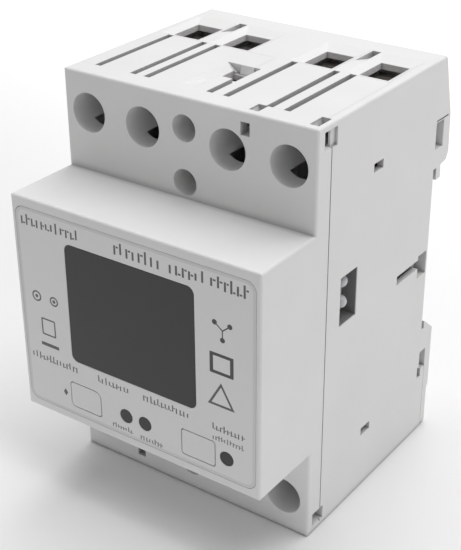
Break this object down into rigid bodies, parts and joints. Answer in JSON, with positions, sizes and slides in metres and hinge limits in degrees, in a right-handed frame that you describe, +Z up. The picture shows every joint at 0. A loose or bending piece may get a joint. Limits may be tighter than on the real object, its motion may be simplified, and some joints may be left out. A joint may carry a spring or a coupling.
{
  "type": "smart electric meter",
  "caption": "Three-phase rail-mounted energy meter: stepped light grey case, dark display, keys, indicator lenses, screw clamps at both ends and a sprung rail clip.",
  "frame": {"origin": "centre of the bounding box's footprint on the bottom face", "axes": "+X to the right of the label, +Y from the label towards the rail, +Z up"},
  "size_m": [0.054, 0.064, 0.082],
  "materials": {
    "shell": "fine matt moulded plastic",
    "label": "satin film on moulded plastic",
    "smoke_window": "satin smoke acrylic",
    "lcd_glass": "smooth",
    "white_plastic": "matt",
    "black_plastic": "matt",
    "clear_resin": "clear resin",
    "circuit_board": "solder mask",
    "copper": "plain copper alloy",
    "blue_plastic": "matt",
    "yellow_tape": "tape over a wound bobbin",
    "steel": "zinc plated",
    "spring_steel": "drawn wire"
  },
  "bodies": {
    "meter": {"front_cover": "shell", "rear_housing": "shell", "label_plate": "label", "display_window": "smoke_window", "key_switches": "black_plastic", "status_lenses": "smoke_window", "pulse_lens": "smoke_window", "led_emitters": "clear_resin", "lcd_panel": "lcd_glass", "lcd_frame": "white_plastic", "lcd_backlight": "white_plastic", "lcd_contacts": "black_plastic", "display_board": "circuit_board", "main_board": "circuit_board", "board_link": "black_plastic", "radio_board": "circuit_board", "radio_antenna": "copper", "ir_emitter": "clear_resin", "ir_receiver": "clear_resin", "phase_bar_1": "copper", "phase_bar_2": "copper", "phase_bar_3": "copper", "neutral_bar": "copper", "aux_contacts": "copper", "current_sensor_1": "blue_plastic", "current_sensor_2": "blue_plastic", "current_sensor_3": "blue_plastic", "supply_capacitors": "black_plastic", "surge_absorbers": "blue_plastic", "supply_transformer": "yellow_tape", "main_chips": "black_plastic", "clip_spring": "spring_steel"},
    "top_screw_1": {"top_screw_1": "steel"},
    "top_cage_1": {"top_cage_1": "steel"},
    "top_screw_2": {"top_screw_2": "steel"},
    "top_cage_2": {"top_cage_2": "steel"},
    "top_screw_3": {"top_screw_3": "steel"},
    "top_cage_3": {"top_cage_3": "steel"},
    "top_screw_4": {"top_screw_4": "steel"},
    "top_cage_4": {"top_cage_4": "steel"},
    "bottom_screw_1": {"bottom_screw_1": "steel"},
    "bottom_cage_1": {"bottom_cage_1": "steel"},
    "bottom_screw_2": {"bottom_screw_2": "steel"},
    "bottom_cage_2": {"bottom_cage_2": "steel"},
    "bottom_screw_3": {"bottom_screw_3": "steel"},
    "bottom_cage_3": {"bottom_cage_3": "steel"},
    "bottom_screw_4": {"bottom_screw_4": "steel"},
    "bottom_cage_4": {"bottom_cage_4": "steel"},
    "aux_screw_1": {"aux_screw_1": "steel"},
    "aux_cage_1": {"aux_cage_1": "steel"},
    "aux_screw_2": {"aux_screw_2": "steel"},
    "aux_cage_2": {"aux_cage_2": "steel"},
    "aux_screw_3": {"aux_screw_3": "steel"},
    "aux_cage_3": {"aux_cage_3": "steel"},
    "aux_screw_4": {"aux_screw_4": "steel"},
    "aux_cage_4": {"aux_cage_4": "steel"},
    "left_key": {"left_key": "label"},
    "right_key": {"right_key": "label"},
    "rail_clip": {"rail_clip": "shell"}
  },
  "joints": [
    {"name": "top_screw_1_turn", "type": "hinge", "parent": "meter", "child": "top_screw_1", "pos_m": [-0.0215, -0.002, 0.0745], "axis": [0, 1, 0], "range_deg": [0, 2160]},
    {"name": "top_cage_1_slide", "type": "slide", "parent": "meter", "child": "top_cage_1", "axis": [0, -1, 0], "range_m": [0, 0.0048]},
    {"name": "top_screw_2_turn", "type": "hinge", "parent": "meter", "child": "top_screw_2", "pos_m": [-0.00915, -0.002, 0.0745], "axis": [0, 1, 0], "range_deg": [0, 2160]},
    {"name": "top_cage_2_slide", "type": "slide", "parent": "meter", "child": "top_cage_2", "axis": [0, -1, 0], "range_m": [0, 0.0048]},
    {"name": "top_screw_3_turn", "type": "hinge", "parent": "meter", "child": "top_screw_3", "pos_m": [0.00915, -0.002, 0.0745], "axis": [0, 1, 0], "range_deg": [0, 2160]},
    {"name": "top_cage_3_slide", "type": "slide", "parent": "meter", "child": "top_cage_3", "axis": [0, -1, 0], "range_m": [0, 0.0048]},
    {"name": "top_screw_4_turn", "type": "hinge", "parent": "meter", "child": "top_screw_4", "pos_m": [0.0215, -0.002, 0.0745], "axis": [0, 1, 0], "range_deg": [0, 2160]},
    {"name": "top_cage_4_slide", "type": "slide", "parent": "meter", "child": "top_cage_4", "axis": [0, -1, 0], "range_m": [0, 0.0048]},
    {"name": "bottom_screw_1_turn", "type": "hinge", "parent": "meter", "child": "bottom_screw_1", "pos_m": [-0.0215, -0.002, 0.0075], "axis": [0, 1, 0], "range_deg": [0, 2160]},
    {"name": "bottom_cage_1_slide", "type": "slide", "parent": "meter", "child": "bottom_cage_1", "axis": [0, -1, 0], "range_m": [0, 0.0048]},
    {"name": "bottom_screw_2_turn", "type": "hinge", "parent": "meter", "child": "bottom_screw_2", "pos_m": [-0.00915, -0.002, 0.0075], "axis": [0, 1, 0], "range_deg": [0, 2160]},
    {"name": "bottom_cage_2_slide", "type": "slide", "parent": "meter", "child": "bottom_cage_2", "axis": [0, -1, 0], "range_m": [0, 0.0048]},
    {"name": "bottom_screw_3_turn", "type": "hinge", "parent": "meter", "child": "bottom_screw_3", "pos_m": [0.00915, -0.002, 0.0075], "axis": [0, 1, 0], "range_deg": [0, 2160]},
    {"name": "bottom_cage_3_slide", "type": "slide", "parent": "meter", "child": "bottom_cage_3", "axis": [0, -1, 0], "range_m": [0, 0.0048]},
    {"name": "bottom_screw_4_turn", "type": "hinge", "parent": "meter", "child": "bottom_screw_4", "pos_m": [0.0215, -0.002, 0.0075], "axis": [0, 1, 0], "range_deg": [0, 2160]},
    {"name": "bottom_cage_4_slide", "type": "slide", "parent": "meter", "child": "bottom_cage_4", "axis": [0, -1, 0], "range_m": [0, 0.0048]},
    {"name": "aux_screw_1_turn", "type": "hinge", "parent": "meter", "child": "aux_screw_1", "pos_m": [0, -0.002, 0.0763], "axis": [0, 1, 0], "range_deg": [0, 1440]},
    {"name": "aux_cage_1_slide", "type": "slide", "parent": "meter", "child": "aux_cage_1", "axis": [0, -1, 0], "range_m": [0, 0.002]},
    {"name": "aux_screw_2_turn", "type": "hinge", "parent": "meter", "child": "aux_screw_2", "pos_m": [0, -0.002, 0.0662], "axis": [0, 1, 0], "range_deg": [0, 1440]},
    {"name": "aux_cage_2_slide", "type": "slide", "parent": "meter", "child": "aux_cage_2", "axis": [0, -1, 0], "range_m": [0, 0.002]},
    {"name": "aux_screw_3_turn", "type": "hinge", "parent": "meter", "child": "aux_screw_3", "pos_m": [0, -0.002, 0.0158], "axis": [0, 1, 0], "range_deg": [0, 1440]},
    {"name": "aux_cage_3_slide", "type": "slide", "parent": "meter", "child": "aux_cage_3", "axis": [0, -1, 0], "range_m": [0, 0.002]},
    {"name": "aux_screw_4_turn", "type": "hinge", "parent": "meter", "child": "aux_screw_4", "pos_m": [0, -0.002, 0.0057], "axis": [0, 1, 0], "range_deg": [0, 1440]},
    {"name": "aux_cage_4_slide", "type": "slide", "parent": "meter", "child": "aux_cage_4", "axis": [0, -1, 0], "range_m": [0, 0.002]},
    {"name": "left_key_press", "type": "slide", "parent": "meter", "child": "left_key", "axis": [0, 1, 0], "range_m": [0, 0.0004], "stiffness_N_per_m": 3000, "springref_m": -0.0003},
    {"name": "right_key_press", "type": "slide", "parent": "meter", "child": "right_key", "axis": [0, 1, 0], "range_m": [0, 0.0004], "stiffness_N_per_m": 3000, "springref_m": -0.0003},
    {"name": "rail_clip_pull", "type": "slide", "parent": "meter", "child": "rail_clip", "axis": [0, 0, -1], "range_m": [0, 0.004], "stiffness_N_per_m": 2500, "springref_m": -0.002, "deforming": ["clip_spring"]}
  ],
  "couplings": [
    {"joint": "top_screw_1_turn", "follows": "top_cage_1_slide", "rad_per_m": 7850},
    {"joint": "top_screw_2_turn", "follows": "top_cage_2_slide", "rad_per_m": 7850},
    {"joint": "top_screw_3_turn", "follows": "top_cage_3_slide", "rad_per_m": 7850},
    {"joint": "top_screw_4_turn", "follows": "top_cage_4_slide", "rad_per_m": 7850},
    {"joint": "bottom_screw_1_turn", "follows": "bottom_cage_1_slide", "rad_per_m": 7850},
    {"joint": "bottom_screw_2_turn", "follows": "bottom_cage_2_slide", "rad_per_m": 7850},
    {"joint": "bottom_screw_3_turn", "follows": "bottom_cage_3_slide", "rad_per_m": 7850},
    {"joint": "bottom_screw_4_turn", "follows": "bottom_cage_4_slide", "rad_per_m": 7850},
    {"joint": "aux_screw_1_turn", "follows": "aux_cage_1_slide", "rad_per_m": 12560},
    {"joint": "aux_screw_2_turn", "follows": "aux_cage_2_slide", "rad_per_m": 12560},
    {"joint": "aux_screw_3_turn", "follows": "aux_cage_3_slide", "rad_per_m": 12560},
    {"joint": "aux_screw_4_turn", "follows": "aux_cage_4_slide", "rad_per_m": 12560}
  ]
}
